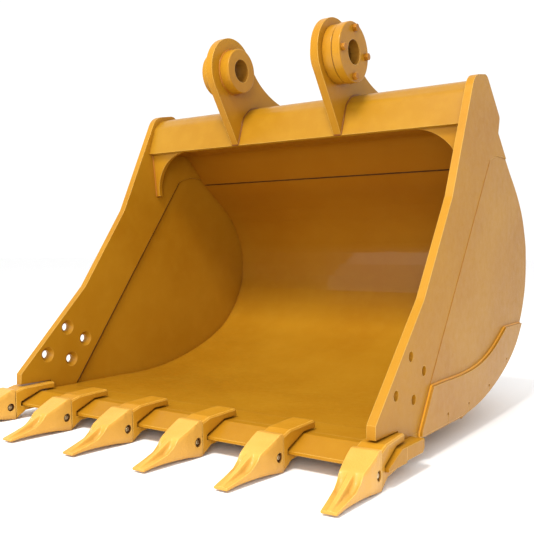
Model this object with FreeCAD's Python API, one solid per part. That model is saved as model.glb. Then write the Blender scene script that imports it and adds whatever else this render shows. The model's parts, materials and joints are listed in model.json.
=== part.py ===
import FreeCAD, Part

import math
import os

# Excavator bucket, built as the weldment and its wear parts. One node is one piece.
# Frame: the stick pin's axis is the X axis and x = 0 is the bucket's middle. +X is the bucket's
# right-hand side seen from the cab, -Y is the way the teeth point, +Z is up. Millimetres.

# Widths
HALF_WIDTH = 825.0            # outer face of a side
BAR_THICK = 30.0              # side bar, the thick front part of a side
SIDE_THICK = 20.0             # side plate behind it, flush on the outside
SIDE_LEAN = 1.45              # degrees that a side plate turns inward behind its seam with the bar
EDGE_HALF = 872.0             # cutting edge, which stands out past the sides

# Shell and top beam plates
SHELL_THICK = 20.0
BEAM_THICK = 16.0
GUSSET_THICK = 22.0

# Pins
PIN_BORE_R = 50.0
LINK_Y = 470.0                # link pin, measured from the stick pin
LINK_Z = -245.0
HINGE_IN = 247.5              # inner face of a hinge plate
HINGE_OUT = 281.0
STICK_END_R = 148.5
LINK_END_R = 128.0
BOSS_R = 96.0
BOSS_LEFT = (-346.0, -198.0)
BOSS_RIGHT_IN = 214.0
SEAT_R = 118.0                # right-hand boss, outside the plate, that the adjuster bolts to
SEAT_FACE = 323.0
SLEEVE_R = 62.0
SHIM_THICK = 3.0
FLANGE_R = 121.0
FLANGE_FACE = 362.0
BOLT_CIRCLE_R = 96.5
BOLT_R = 8.0
BOLT_FLATS = 27.0
BOLT_HEAD = 13.0
WASHER_R = 15.0
WASHER_THICK = 3.0
LINK_BOSS_R = 90.0
LINK_BOSS = (205.0, 335.0)

# Cutting edge and the base plate behind it
EDGE_TOP = -1379.5
EDGE_BOTTOM = -1427.0
EDGE_FRONT = -727.0
BEVEL_START = -639.0
NOSE_HEIGHT = 10.0
EDGE_BACK = -603.0
BASE_BOTTOM = -1421.0
BASE_BACK = -476.0
SHELL_BOTTOM = -1399.5

# Wear plates
HEEL_THICK = 13.0
STRIP_SETBACK = 4.0           # strips stop this far inside the sides' outer faces
HEEL_SETBACK = 7.0            # heel plate's lower edge, above the shell's outer face
SLIT_WIDTH = 3.0
SLIT_HOLE_R = 6.0

# Side cutter bolt holes: (y, z), and their countersinks on the inside
CUTTER_HOLES = ((-476.0, -1127.0), (-374.0, -1185.0), (-584.0, -1235.0), (-454.0, -1267.0))
CUTTER_R = 17.0
SINK_R = 32.0
SINK_DEPTH = 14.0

# Teeth
TOOTH_PITCH = 324.0
TEETH = 6
CORNER_SHIFT = 4.0            # the two corner teeth sit this much further out
CORNER_TOE = 4.9              # and turn outward by this many degrees
TOE_PIVOT_Y = -703.0
TOOTH_HALF = 43.5
TOOTH_GAP = 7.0               # between an adapter and the edge it straddles, above and in front
LOCK_Y = -779.5
LOCK_Z = -1426.0
LOCK_R = 11.0
LOCK_HALF = 41.0
LOCK_CLEAR = 0.1
LOCK_HOLE_R = 16.0
SOCKET_CLEAR = 1.0

# Outer face of the shell: (y, z, direction in degrees), from the base plate round to the top
SHELL = (
    (-476.0, -1399.5, 0.0),
    (-60.0, -1399.5, 0.0),
    (381.0, -1328.0, 18.0),
    (597.0, -1235.0, 31.0),
    (691.0, -1159.0, 46.0),
    (752.0, -1083.0, 58.0),
    (812.0, -925.0, 84.0),
    (809.0, -800.0, 97.0),
    (768.0, -692.0, 117.0),
    (656.0, -557.0, 139.0),
    (480.0, -424.0, 141.0),
)
SHELL_TOP = (
    (480.0, -424.0, 141.0),
    (362.0, -317.0, 138.0),
    (285.0, -286.0, 180.0),
    (57.0, -286.0, 180.0),
)
# Outer face of the top beam's plate, from its front lip over the top and down the back
BEAM = (
    (38.0, -318.0, 72.0),
    (76.0, -200.0, 72.0),
    (110.0, -160.0, 42.0),
    (176.0, -133.0, 14.0),
    (205.0, -130.0, 0.0),
    (240.0, -146.0, -43.0),
    (357.0, -255.0, -43.0),
)


# Plane geometry in (y, z)

def unit(angle):
    return (math.cos(math.radians(angle)), math.sin(math.radians(angle)))


def arc_between(start, angle, end):
    """Arc that leaves start at angle and reaches end, as three (y, z, direction) points."""
    dy = end[0] - start[0]
    dz = end[1] - start[1]
    half = math.degrees(math.atan2(dz, dy)) - angle
    half = (half + 180.0) % 360.0 - 180.0
    reach = math.hypot(dy, dz) / (2.0 * math.cos(math.radians(half / 2.0)))
    way = unit(angle + half / 2.0)
    middle = (start[0] + reach * way[0], start[1] + reach * way[1], angle + half)
    return ((start[0], start[1], angle), middle, (end[0], end[1], angle + 2.0 * half))


def arc_pair(first, last):
    """Two arcs, smooth where they meet, between two (y, z, direction) points."""
    ta = unit(first[2])
    tb = unit(last[2])
    vy = last[0] - first[0]
    vz = last[1] - first[1]
    along = vy * (ta[0] + tb[0]) + vz * (ta[1] + tb[1])
    turn = 2.0 * (1.0 - ta[0] * tb[0] - ta[1] * tb[1])
    length2 = vy * vy + vz * vz
    if turn < 1e-9:
        reach = length2 / (2.0 * along)
    else:
        reach = (math.sqrt(along * along + turn * length2) - along) / turn
    meet = (
        (first[0] + last[0] + reach * (ta[0] - tb[0])) / 2.0,
        (first[1] + last[1] + reach * (ta[1] - tb[1])) / 2.0,
    )
    one = arc_between(first, first[2], meet)
    two = arc_between(one[2], one[2][2], last)
    return [one, two]


def smooth_path(stations):
    arcs = []
    for first, last in zip(stations, stations[1:]):
        straight = math.degrees(math.atan2(last[1] - first[1], last[0] - first[0]))
        if abs(straight - first[2]) < 0.2 and abs(straight - last[2]) < 0.2:
            middle = ((first[0] + last[0]) / 2.0, (first[1] + last[1]) / 2.0, straight)
            arcs.append((first, middle, last))
        else:
            arcs += arc_pair(first, last)
    return arcs


def shifted(point, left):
    way = unit(point[2] + 90.0)
    return (point[0] + left * way[0], point[1] + left * way[1])


def vec(x, point):
    return FreeCAD.Vector(x, point[0], point[1])


def curve(x, start, middle, end):
    """Edge through three points: an arc, or a line where they lie on one."""
    area = (middle[0] - start[0]) * (end[1] - start[1]) - (middle[1] - start[1]) * (end[0] - start[0])
    if abs(area) < 0.5:
        return Part.makeLine(vec(x, start), vec(x, end))
    return Part.Arc(vec(x, start), vec(x, middle), vec(x, end)).toShape()


def path_edges(x, arcs, left):
    return [curve(x, *(shifted(p, left) for p in arc)) for arc in arcs]


def band(arcs, low, high, x0, x1):
    """Plate that follows a path between two offsets to its left, from x0 to x1."""
    start = arcs[0][0]
    end = arcs[-1][2]
    edges = path_edges(x0, arcs, low) + path_edges(x0, arcs, high)
    edges.append(Part.makeLine(vec(x0, shifted(start, low)), vec(x0, shifted(start, high))))
    edges.append(Part.makeLine(vec(x0, shifted(end, low)), vec(x0, shifted(end, high))))
    wire = Part.Wire(Part.__sortEdges__(edges))
    return Part.Face(wire).extrude(FreeCAD.Vector(x1 - x0, 0, 0))


def slab(points, x0, x1):
    """Flat plate with a straight-sided (y, z) outline."""
    corners = [vec(x0, p) for p in points]
    wire = Part.makePolygon(corners + corners[:1])
    return Part.Face(wire).extrude(FreeCAD.Vector(x1 - x0, 0, 0))


def rod(x0, x1, radius, y=0.0, z=0.0):
    return Part.makeCylinder(radius, x1 - x0, FreeCAD.Vector(x0, y, z), FreeCAD.Vector(1, 0, 0))


def box(x0, x1, y0, y1, z0, z1):
    return Part.makeBox(x1 - x0, y1 - y0, z1 - z0, FreeCAD.Vector(x0, y0, z0))


def mirrored(shape):
    return shape.mirror(FreeCAD.Vector(0, 0, 0), FreeCAD.Vector(1, 0, 0))


def edges_along_x(shape, where):
    """Straight edges parallel to X whose (y, z) is near one of the given points."""
    found = []
    for edge in shape.Edges:
        ends = [v.Point for v in edge.Vertexes]
        if len(ends) != 2 or math.hypot(ends[0].y - ends[1].y, ends[0].z - ends[1].z) > 0.01:
            continue
        if any(math.hypot(ends[0].y - y, ends[0].z - z) < 1.0 for y, z in where):
            found.append(edge)
    return found


# Sides

FRONT_FOOT = (-720.0, -1302.0)
LOWER_KINK = (-373.0, -952.0)
UPPER_KINK = (-130.0, -601.0)
TOP_FRONT = (87.0, -132.0)
TOP_BACK = (221.0, -107.0)
BACK_END = (379.0, -253.0)
SEAM_FOOT = (-428.0, EDGE_TOP)
SEAM_TOP = (262.0, -436.0)
SEAM_BACK = (345.0, -411.0)


def shell_region(x0, x1, inset=0.0):
    """Everything inside the shell's outer face, closed in front, as a cutter for the sides."""
    arcs = smooth_path(SHELL) + smooth_path(SHELL_TOP[:2])
    edges = path_edges(x0, arcs, inset)
    start = shifted(arcs[0][0], inset)
    end = shifted(arcs[-1][2], inset)
    corners = [end, (100.0, -250.0), (-900.0, -900.0), (-900.0, start[1]), start]
    for a, b in zip(corners, corners[1:]):
        edges.append(Part.makeLine(vec(x0, a), vec(x0, b)))
    wire = Part.Wire(Part.__sortEdges__(edges))
    return Part.Face(wire).extrude(FreeCAD.Vector(x1 - x0, 0, 0))


def tooth_notch():
    """Room for the corner adapter's top leg under the side bar."""
    return box(HALF_WIDTH - 60.0, HALF_WIDTH + 60.0, -800.0, -568.0, -1500.0, -1345.0)


def cutter_hole(y, z):
    inner = HALF_WIDTH - BAR_THICK
    hole = rod(inner - 1.0, HALF_WIDTH + 1.0, CUTTER_R, y, z)
    slope = (SINK_R - CUTTER_R) / SINK_DEPTH
    sink = Part.makeCone(
        SINK_R + slope, CUTTER_R, SINK_DEPTH + 1.0,
        FreeCAD.Vector(inner - 1.0, y, z), FreeCAD.Vector(1, 0, 0))
    return hole.fuse(sink)


def side_bar():
    inner = HALF_WIDTH - BAR_THICK
    outline = [
        (FRONT_FOOT[0], EDGE_TOP), FRONT_FOOT, LOWER_KINK, UPPER_KINK, TOP_FRONT, TOP_BACK,
        BACK_END, (363.0, -315.0), (480.0, -411.0), SEAM_BACK, SEAM_TOP, SEAM_FOOT,
    ]
    bar = slab(outline, inner, HALF_WIDTH)
    bar = bar.makeFillet(85.0, edges_along_x(bar, [TOP_FRONT]))
    bar = bar.makeFillet(50.0, edges_along_x(bar, [TOP_BACK]))
    bar = bar.makeFillet(20.0, edges_along_x(bar, [BACK_END]))
    beyond = box(inner - 5.0, HALF_WIDTH + 5.0, 363.0, 700.0, -500.0, -315.0)
    shell = shell_region(inner - 6.0, HALF_WIDTH + 6.0)
    bar = bar.cut(beyond.cut(shell)).cut(tooth_notch())
    for y, z in CUTTER_HOLES:
        bar = bar.cut(cutter_hole(y, z))
    return bar


def leaned(shape):
    """Turn a piece of the +X side inward about the seam between side bar and side plate."""
    along = FreeCAD.Vector(0, SEAM_TOP[0] - SEAM_FOOT[0], SEAM_TOP[1] - SEAM_FOOT[1])
    turned = shape.copy()
    turned.rotate(vec(HALF_WIDTH, SEAM_TOP), along, SIDE_LEAN)
    return turned


def outside_side(depth):
    """The space beyond a plane at this depth below the +X side plate's outer face."""
    return leaned(box(HALF_WIDTH - depth, HALF_WIDTH + 400.0, -1500.0, 1500.0, -2000.0, 500.0))


def between_sides(shape, depth):
    beyond = outside_side(depth)
    return shape.cut(beyond).cut(mirrored(beyond))


def side_plate():
    x0 = HALF_WIDTH - SIDE_THICK
    outline = [SEAM_FOOT, SEAM_TOP, SEAM_BACK, (480.0, -411.0), (900.0, -411.0), (900.0, -1500.0),
               (-300.0, -1500.0), (-476.0, SHELL_BOTTOM), (-476.0, EDGE_TOP)]
    plate = slab(outline, x0, HALF_WIDTH)
    plate = plate.common(shell_region(x0 - 1.0, HALF_WIDTH + 1.0))
    return leaned(plate).cut(side_bar()).cut(base_edge())


# Shell and top beam

def shell_lower():
    inside = HALF_WIDTH - SIDE_THICK
    return between_sides(band(smooth_path(SHELL), 0.0, SHELL_THICK, -inside, inside), SIDE_THICK)


def bar_backs():
    """The two side bars' full height, taken out of the shell where it passes between them."""
    inner = HALF_WIDTH - BAR_THICK
    outer = HALF_WIDTH
    return [box(inner, outer, -900.0, 900.0, -411.0, 0.0), box(-outer, -inner, -900.0, 900.0, -411.0, 0.0)]


def shell_upper():
    inside = HALF_WIDTH - SIDE_THICK
    plate = band(smooth_path(SHELL_TOP), 0.0, SHELL_THICK, -inside, inside)
    for block in bar_backs():
        plate = plate.cut(block)
    bar = side_bar()
    return between_sides(plate.cut(bar).cut(mirrored(bar)), SIDE_THICK)


def beam_plate():
    inner = HALF_WIDTH - BAR_THICK
    plate = band(smooth_path(BEAM), -BEAM_THICK, 0.0, -inner, inner)
    return plate.cut(shell_solid_top(inner))


def shell_solid_top(inner):
    """The shell's outer face and all below it, where the beam's plate lands on it."""
    arcs = smooth_path(SHELL_TOP)
    return band(arcs, 0.0, 400.0, -inner - 1.0, inner + 1.0)


def beam_closer():
    """Flat strip that closes the beam behind, from the beam plate's rear end down to the shell."""
    inner = HALF_WIDTH - BAR_THICK
    end = BEAM[-1]
    turn = math.radians(end[2])
    out = (BEAM_THICK * math.cos(turn), BEAM_THICK * math.sin(turn))
    down = (70.0 * math.sin(turn), -70.0 * math.cos(turn))
    a = (end[0], end[1])
    b = (a[0] + out[0], a[1] + out[1])
    outline = [a, b, (b[0] + down[0], b[1] + down[1]), (a[0] + down[0], a[1] + down[1])]
    return slab(outline, -inner, inner).cut(shell_solid_top(inner))


def beam_solid(x0, x1):
    """The beam's whole section, as a cutter for what stands on it."""
    arcs = smooth_path(BEAM)
    edges = path_edges(x0, arcs, 0.0)
    end = arcs[-1][2]
    corners = [(end[0], end[1]), (340.0, -330.0), (60.0, -330.0), (38.0, -318.0)]
    for a, b in zip(corners, corners[1:]):
        edges.append(Part.makeLine(vec(x0, a), vec(x0, b)))
    wire = Part.Wire(Part.__sortEdges__(edges))
    return Part.Face(wire).extrude(FreeCAD.Vector(x1 - x0, 0, 0))


def beam_rib(x):
    """Plate inside the beam, under a hinge plate."""
    half = 9.0
    rib = beam_solid(x - half, x + half)
    rib = rib.cut(band(smooth_path(BEAM), -BEAM_THICK, 0.0, x - 20.0, x + 20.0))
    rib = rib.cut(band(smooth_path(SHELL_TOP), -0.01, 400.0, x - 20.0, x + 20.0)).cut(beam_closer())
    biggest = max(rib.Solids, key=lambda s: s.Volume)
    return biggest


def corner_gusset():
    """Curved bracket in the corner between the beam's underside and the side bar."""
    inner = HALF_WIDTH - BAR_THICK
    top = -286.0 - SHELL_THICK
    radius = 190.0
    leg = 20.0
    low = -525.0
    tip = 557.0
    y = 62.0
    centre = (inner - leg - radius, top - 15.0 - radius)
    turn = radius * math.sqrt(0.5)

    def at(x, z):
        return FreeCAD.Vector(x, y, z)

    points = [(centre[0], centre[1] + radius), (tip, centre[1] + radius), (tip, top), (inner, top),
              (inner, low), (inner - leg, low), (inner - leg, centre[1])]
    edges = [Part.makeLine(at(*a), at(*b)) for a, b in zip(points, points[1:])]
    arc = Part.Arc(at(*points[-1]), at(centre[0] + turn, centre[1] + turn), at(*points[0]))
    edges.append(arc.toShape())
    plate = Part.Face(Part.Wire(Part.__sortEdges__(edges))).extrude(FreeCAD.Vector(0, GUSSET_THICK, 0))
    plate.rotate(FreeCAD.Vector(inner, y, top), FreeCAD.Vector(1, 0, 0), 8.0)
    return plate.common(box(0.0, inner, 0.0, 400.0, -600.0, top))


# Hinge plates, bosses and the side-play adjuster

def tangent_point(centre, radius, outside, side):
    """Where a line from a point outside a circle touches it; side is +1 or -1."""
    dy = outside[0] - centre[0]
    dz = outside[1] - centre[1]
    angle = math.atan2(dz, dy) + side * math.acos(radius / math.hypot(dy, dz))
    return (centre[0] + radius * math.cos(angle), centre[1] + radius * math.sin(angle))


def hinge_outline(x):
    """Closed outline: two round ends, a hollow top edge, and feet on the beam and the shell."""
    stick = (0.0, 0.0)
    link = (LINK_Y, LINK_Z)
    front_foot = (38.0, -316.0)
    back_foot = (655.0, -600.0)
    a = tangent_point(stick, STICK_END_R, front_foot, -1)
    top_start = (STICK_END_R * math.cos(math.radians(27.0)), STICK_END_R * math.sin(math.radians(27.0)))
    top_end = (LINK_Y + LINK_END_R * math.cos(math.radians(73.0)),
               LINK_Z + LINK_END_R * math.sin(math.radians(73.0)))
    b = tangent_point(link, LINK_END_R, back_foot, 1)
    crown = (STICK_END_R * math.cos(math.radians(120.0)), STICK_END_R * math.sin(math.radians(120.0)))
    shoulder = (LINK_Y + LINK_END_R * math.cos(math.radians(40.0)),
                LINK_Z + LINK_END_R * math.sin(math.radians(40.0)))
    hollow = smooth_path(((top_start[0], top_start[1], -63.0), (232.0, -32.0, -30.0),
                          (top_end[0], top_end[1], -17.0)))
    edges = [Part.makeLine(vec(x, front_foot), vec(x, a)),
             curve(x, a, crown, top_start)]
    edges += path_edges(x, hollow, 0.0)
    edges += [curve(x, top_end, shoulder, b), Part.makeLine(vec(x, b), vec(x, back_foot)),
              Part.makeLine(vec(x, back_foot), vec(x, (300.0, -500.0))),
              Part.makeLine(vec(x, (300.0, -500.0)), vec(x, front_foot))]
    return Part.Wire(Part.__sortEdges__(edges))


def shell_below(x0, x1):
    """The shell and all inside it, where a hinge plate's foot lands on it."""
    arcs = smooth_path(SHELL_TOP[:2])
    lower = smooth_path(SHELL[8:])
    return band(arcs, 0.0, 500.0, x0, x1), band(lower, 0.0, 500.0, x0, x1)


def hinge_plate(side):
    plate = Part.Face(hinge_outline(HINGE_IN)).extrude(FreeCAD.Vector(HINGE_OUT - HINGE_IN, 0, 0))
    x0 = HINGE_IN - 1.0
    x1 = HINGE_OUT + 1.0
    plate = plate.cut(beam_solid(x0, x1)).cut(beam_closer())
    plate = plate.cut(band(smooth_path(SHELL_TOP), -0.01, 400.0, x0, x1))
    for region in shell_below(x0, x1):
        plate = plate.cut(region)
    plate = plate.cut(rod(x0, x1, BOSS_R))
    plate = plate.cut(rod(x0, x1, LINK_BOSS_R, LINK_Y, LINK_Z))
    plate = max(plate.Solids, key=lambda s: s.Volume)
    return plate if side > 0 else mirrored(plate)


def rounded_ring(x0, x1, outer, inner, y=0.0, z=0.0, edge=4.0):
    """Turned ring with its outer rims rounded and its bore chamfered lightly."""
    ring = rod(x0, x1, outer, y, z)
    rims = [e for e in ring.Edges if e.Closed]
    ring = ring.makeFillet(edge, rims)
    return ring.cut(rod(x0 - 1.0, x1 + 1.0, inner, y, z))


def stick_boss_left():
    return rounded_ring(BOSS_LEFT[0], BOSS_LEFT[1], BOSS_R, PIN_BORE_R)


def bolt_spots():
    spots = []
    for k in range(4):
        angle = math.radians(90.0 * k)
        spots.append((BOLT_CIRCLE_R * math.cos(angle), BOLT_CIRCLE_R * math.sin(angle)))
    return spots


def stick_boss_right():
    body = rod(BOSS_RIGHT_IN, HINGE_OUT, BOSS_R)
    seat = rounded_ring(HINGE_OUT, SEAT_FACE, SEAT_R, SLEEVE_R, edge=3.0)
    body = body.cut(rod(BOSS_RIGHT_IN - 1.0, HINGE_OUT + 1.0, SLEEVE_R)).fuse(seat)
    for y, z in bolt_spots():
        body = body.cut(rod(SEAT_FACE - 30.0, SEAT_FACE + 1.0, BOLT_R, y, z))
    return body.removeSplitter()


def adjuster_shim():
    x1 = SEAT_FACE + SHIM_THICK
    shim = rod(SEAT_FACE, x1, SEAT_R - 3.0).cut(rod(SEAT_FACE - 1.0, x1 + 1.0, SLEEVE_R))
    for y, z in bolt_spots():
        shim = shim.cut(rod(SEAT_FACE - 1.0, x1 + 1.0, BOLT_R + 1.0, y, z))
    return shim


def adjuster_flange():
    """Flanged sleeve: its sleeve fills the boss and its inner end meets the stick."""
    x0 = SEAT_FACE + SHIM_THICK
    disc = rounded_ring(x0, FLANGE_FACE, FLANGE_R, PIN_BORE_R, edge=4.0)
    sleeve = rod(BOSS_RIGHT_IN, x0, SLEEVE_R).cut(rod(BOSS_RIGHT_IN - 1.0, x0 + 1.0, PIN_BORE_R))
    flange = disc.fuse(sleeve)
    for y, z in bolt_spots():
        flange = flange.cut(rod(x0 - 1.0, FLANGE_FACE + 1.0, BOLT_R + 1.0, y, z))
    return flange.removeSplitter()


def hex_head(x, y, z):
    corners = []
    for k in range(7):
        angle = math.radians(60.0 * k + 12.0)
        reach = BOLT_FLATS / math.sqrt(3.0)
        corners.append(FreeCAD.Vector(x, y + reach * math.cos(angle), z + reach * math.sin(angle)))
    head = Part.Face(Part.makePolygon(corners)).extrude(FreeCAD.Vector(BOLT_HEAD, 0, 0))
    crown = Part.makeCone(BOLT_FLATS * 0.5 + BOLT_HEAD * 1.7, BOLT_FLATS * 0.47, BOLT_HEAD,
                          FreeCAD.Vector(x, y, z), FreeCAD.Vector(1, 0, 0))
    return head.common(crown)


def adjuster_bolts():
    seat = FLANGE_FACE + WASHER_THICK
    bolts = []
    for y, z in bolt_spots():
        bolts.append(hex_head(seat, y, z).fuse(rod(SEAT_FACE - 28.0, seat, BOLT_R, y, z)))
    return Part.makeCompound(bolts)


def adjuster_washers():
    rings = []
    for y, z in bolt_spots():
        disc = rod(FLANGE_FACE, FLANGE_FACE + WASHER_THICK, WASHER_R, y, z)
        rings.append(disc.cut(rod(FLANGE_FACE - 1.0, FLANGE_FACE + 9.0, BOLT_R + 0.5, y, z)))
    return Part.makeCompound(rings)


def link_boss(side):
    ring = rounded_ring(LINK_BOSS[0], LINK_BOSS[1], LINK_BOSS_R, PIN_BORE_R, LINK_Y, LINK_Z)
    return ring if side > 0 else mirrored(ring)


# Cutting edge and wear plates

def cutting_edge():
    outline = [(EDGE_FRONT, EDGE_BOTTOM), (EDGE_FRONT, EDGE_BOTTOM + NOSE_HEIGHT),
               (BEVEL_START, EDGE_TOP), (EDGE_BACK, EDGE_TOP), (EDGE_BACK, EDGE_BOTTOM)]
    return slab(outline, -EDGE_HALF, EDGE_HALF)


def base_edge():
    outline = [(EDGE_BACK, EDGE_TOP), (BASE_BACK, EDGE_TOP), (BASE_BACK, BASE_BOTTOM + 12.0),
               (BASE_BACK - 12.0, BASE_BOTTOM), (EDGE_BACK, BASE_BOTTOM)]
    return slab(outline, -EDGE_HALF, EDGE_HALF)


HEEL_SLITS = ((-183.0, -1359.0), (33.0, -1358.0), (270.0, -1326.0), (503.0, -1248.0))


def heel_plate():
    """Wear plate on the outside of the side, low down, slit so that it can follow the curve."""
    x0 = HALF_WIDTH
    x1 = HALF_WIDTH + HEEL_THICK
    edge = smooth_path(((-318.0, -1243.0, 1.0), (44.0, -1240.0, 3.0), (264.0, -1206.0, 15.0),
                        (490.0, -1114.0, 26.0)))
    edges = path_edges(x0, edge, 0.0)
    corners = [(490.0, -1114.0), (860.0, -1114.0), (860.0, -1500.0), (-425.0, -1500.0),
               (-412.0, EDGE_TOP), (-318.0, -1243.0)]
    for a, b in zip(corners, corners[1:]):
        edges.append(Part.makeLine(vec(x0, a), vec(x0, b)))
    wire = Part.Wire(Part.__sortEdges__(edges))
    plate = Part.Face(wire).extrude(FreeCAD.Vector(x1 - x0, 0, 0))
    plate = plate.common(shell_region(x0 - 1.0, x1 + 1.0, HEEL_SETBACK))
    for y, z in HEEL_SLITS:
        plate = plate.cut(rod(x0 - 1.0, x1 + 1.0, SLIT_HOLE_R, y, z))
        plate = plate.cut(box(x0 - 1.0, x1 + 1.0, y - SLIT_WIDTH / 2.0, y + SLIT_WIDTH / 2.0, z - 150.0, z))
    return leaned(plate).cut(base_edge())


# Flat outer face of each strip under the shell: its front and back edges (y, z)
STRIP_FACES = (
    ((-440.0, -1408.0), (-8.0, -1408.0)),
    ((2.0, -1412.0), (328.0, -1361.5)),
    ((338.0, -1356.0), (525.0, -1284.0)),
    ((550.0, -1272.5), (670.0, -1193.0)),
)


def wear_strip(face):
    """Strip under the shell, from side to side: flat outside, hollowed to the shell inside."""
    front, back = face
    dy = back[0] - front[0]
    dz = back[1] - front[1]
    up = 40.0 / math.hypot(dy, dz)
    outline = [front, back, (back[0] - up * dz, back[1] + up * dy), (front[0] - up * dz, front[1] + up * dy)]
    strip = slab(outline, -HALF_WIDTH, HALF_WIDTH).cut(shell_region(-HALF_WIDTH - 1.0, HALF_WIDTH + 1.0))
    return between_sides(strip, STRIP_SETBACK)


# Teeth, in the frame of a straight tooth on the bucket's middle

def plate_slot():
    """The cutting edge and a small gap all round it, as a cutter for the adapters."""
    gap = TOOTH_GAP
    bevel_gap = gap * 1.1
    outline = [(-500.0, EDGE_TOP + gap), (BEVEL_START - 1.0, EDGE_TOP + gap),
               (EDGE_FRONT - gap, EDGE_BOTTOM + NOSE_HEIGHT + bevel_gap),
               (EDGE_FRONT - gap, EDGE_BOTTOM - 1.0), (-500.0, EDGE_BOTTOM - 1.0)]
    return slab(outline, -80.0, 80.0)


def nose(grow):
    """Wedge that the tip slides over; grow is added all round, for the tip's socket."""
    back = -740.0
    front = -872.0 - grow
    sections = []
    for y, half, top, low in ((back, 37.0, -1369.0, -1466.5), (front, 28.0, -1424.0, -1455.0)):
        h = half + grow
        t = top + grow
        b = low - grow
        corners = [FreeCAD.Vector(-h, y, b), FreeCAD.Vector(h, y, b),
                   FreeCAD.Vector(h, y, t), FreeCAD.Vector(-h, y, t)]
        sections.append(Part.makePolygon(corners + corners[:1]))
    return Part.makeLoft(sections, True, True)


def adapter():
    side = [(-576.0, -1348.0), (-716.0, -1352.0), (-759.0, -1364.5), (-754.0, -1473.0),
            (-744.0, -1466.0), (-712.0, -1446.0), (-640.0, -1442.0), (-632.0, -1400.0), (-570.0, -1377.0)]
    body = slab(side, -TOOTH_HALF, TOOTH_HALF)
    body = body.makeChamfer(5.0, edges_on_side(body, ((-576.0, -1348.0), (-716.0, -1352.0)),
                                               ((-716.0, -1352.0), (-759.0, -1364.5))))
    body = body.cut(plate_slot()).fuse(nose(0.0)).removeSplitter()
    bore = rod(-80.0, 80.0, LOCK_R + LOCK_CLEAR, LOCK_Y, LOCK_Z)
    pocket = rod(26.0, 80.0, LOCK_HOLE_R - 0.5, LOCK_Y, LOCK_Z)
    return body.cut(bore).cut(pocket.common(box(26.0, 60.0, -800.0, -762.0, -1500.0, -1300.0)))


def edges_on_side(shape, *spans):
    """Edges of a slab that run between two (y, z) corners."""
    found = []
    for edge in shape.Edges:
        ends = [(v.Point.y, v.Point.z) for v in edge.Vertexes]
        if len(ends) != 2:
            continue
        for a, b in spans:
            ahead = math.dist(ends[0], a) + math.dist(ends[1], b)
            behind = math.dist(ends[0], b) + math.dist(ends[1], a)
            if min(ahead, behind) < 0.5:
                found.append(edge)
    return found


TIP_TOP_BACK = (-778.0, -1355.5)
TIP_END_TOP = (-1015.0, -1462.0)


def tip_body():
    """Chisel wedge with a straight top, a hollow underside and sides that draw in to the end."""
    profile = [(-762.0, -1366.0), TIP_TOP_BACK, TIP_END_TOP, (-1017.0, -1467.0), (-1014.0, -1472.5)]
    under = arc_between((-1014.0, -1472.5), 8.0, (-880.0, -1466.0))
    edges = [Part.makeLine(vec(-60.0, a), vec(-60.0, b)) for a, b in zip(profile, profile[1:])]
    edges.append(curve(-60.0, *(p[:2] for p in under)))
    rest = [(-880.0, -1466.0), (-830.0, -1468.0), (-757.0, -1478.0), (-762.0, -1366.0)]
    edges += [Part.makeLine(vec(-60.0, a), vec(-60.0, b)) for a, b in zip(rest, rest[1:])]
    wedge = Part.Face(Part.Wire(Part.__sortEdges__(edges))).extrude(FreeCAD.Vector(120.0, 0, 0))
    plan = [(-45.0, -750.0), (45.0, -750.0), (45.0, -800.0), (38.0, -872.0), (24.0, -1018.0),
            (-24.0, -1018.0), (-38.0, -872.0), (-45.0, -800.0)]
    corners = [FreeCAD.Vector(x, y, -1500.0) for x, y in plan]
    sides = Part.Face(Part.makePolygon(corners + corners[:1])).extrude(FreeCAD.Vector(0, 0, 200.0))
    return wedge.common(sides)


def scoop(side):
    """Spoon-shaped hollow beside the tip's middle rib."""
    radius = 30.0
    start = FreeCAD.Vector(side * 29.0, -886.0, -1383.5)
    end = FreeCAD.Vector(side * 20.0, -1030.0, -1446.0)
    along = end.sub(start)
    tube = Part.makeCylinder(radius, along.Length, start, along)
    ball = Part.makeSphere(radius, start)
    return tube.fuse(ball)


def tip():
    body = tip_body()
    for side in (1, -1):
        body = body.cut(scoop(side))
    body = body.cut(nose(SOCKET_CLEAR))
    body = body.cut(rod(-80.0, 80.0, LOCK_HOLE_R, LOCK_Y, LOCK_Z))
    return body


def lock_pin():
    pin = rod(-LOCK_HALF, LOCK_HALF, LOCK_R, LOCK_Y, LOCK_Z)
    rims = [e for e in pin.Edges if e.Closed]
    return pin.makeChamfer(2.5, rims)


def lock_ring():
    ring = rod(27.0, 33.5, LOCK_HOLE_R - 1.0, LOCK_Y, LOCK_Z)
    return ring.cut(rod(20.0, 40.0, LOCK_R + LOCK_CLEAR, LOCK_Y, LOCK_Z))


def on_tooth(shape, k):
    """Place a tooth's piece at station k, counted from the -X end; corner teeth toe out."""
    placed = shape.copy()
    x = (k - (TEETH - 1) / 2.0) * TOOTH_PITCH
    corner = (k == TEETH - 1) - (k == 0)
    if corner:
        placed.rotate(FreeCAD.Vector(0, TOE_PIVOT_Y, 0), FreeCAD.Vector(0, 0, 1), corner * CORNER_TOE)
    placed.translate(FreeCAD.Vector(x + corner * CORNER_SHIFT, 0, 0))
    return placed


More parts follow.
